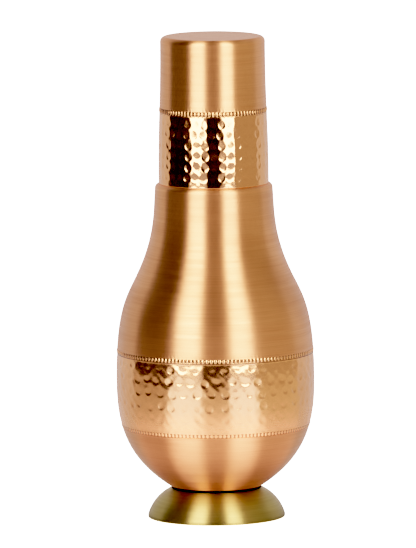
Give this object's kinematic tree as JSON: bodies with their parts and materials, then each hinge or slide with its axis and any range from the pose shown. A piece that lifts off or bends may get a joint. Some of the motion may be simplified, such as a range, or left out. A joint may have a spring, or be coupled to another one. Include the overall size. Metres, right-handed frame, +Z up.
{
  "type": "lidded water bottle",
  "caption": "Bulging copper water bottle on a flared brass foot, closed by an upturned drinking tumbler that lifts off its neck.",
  "frame": {"origin": "centre of the foot's resting plane", "axes": "+Z up along the bottle's axis; +X and +Y are alike, since the object is turned"},
  "size_m": [0.1148, 0.1148, 0.28],
  "materials": {
    "copper": "satin",
    "brass": "satin",
    "silver_braze": "satin",
    "solder": "satin"
  },
  "bodies": {
    "bottle": {"upper_body": "copper", "lower_bowl": "copper", "foot": "brass", "neck_tube": "copper", "neck_braze_ring": "silver_braze", "waist_braze_ring": "silver_braze", "foot_solder_ring": "solder"},
    "tumbler": {"tumbler": "copper"}
  },
  "joints": [
    {"name": "tumbler_lift", "type": "slide", "parent": "bottle", "child": "tumbler", "axis": [0, 0, 1], "range_m": [0, 0.12]}
  ]
}
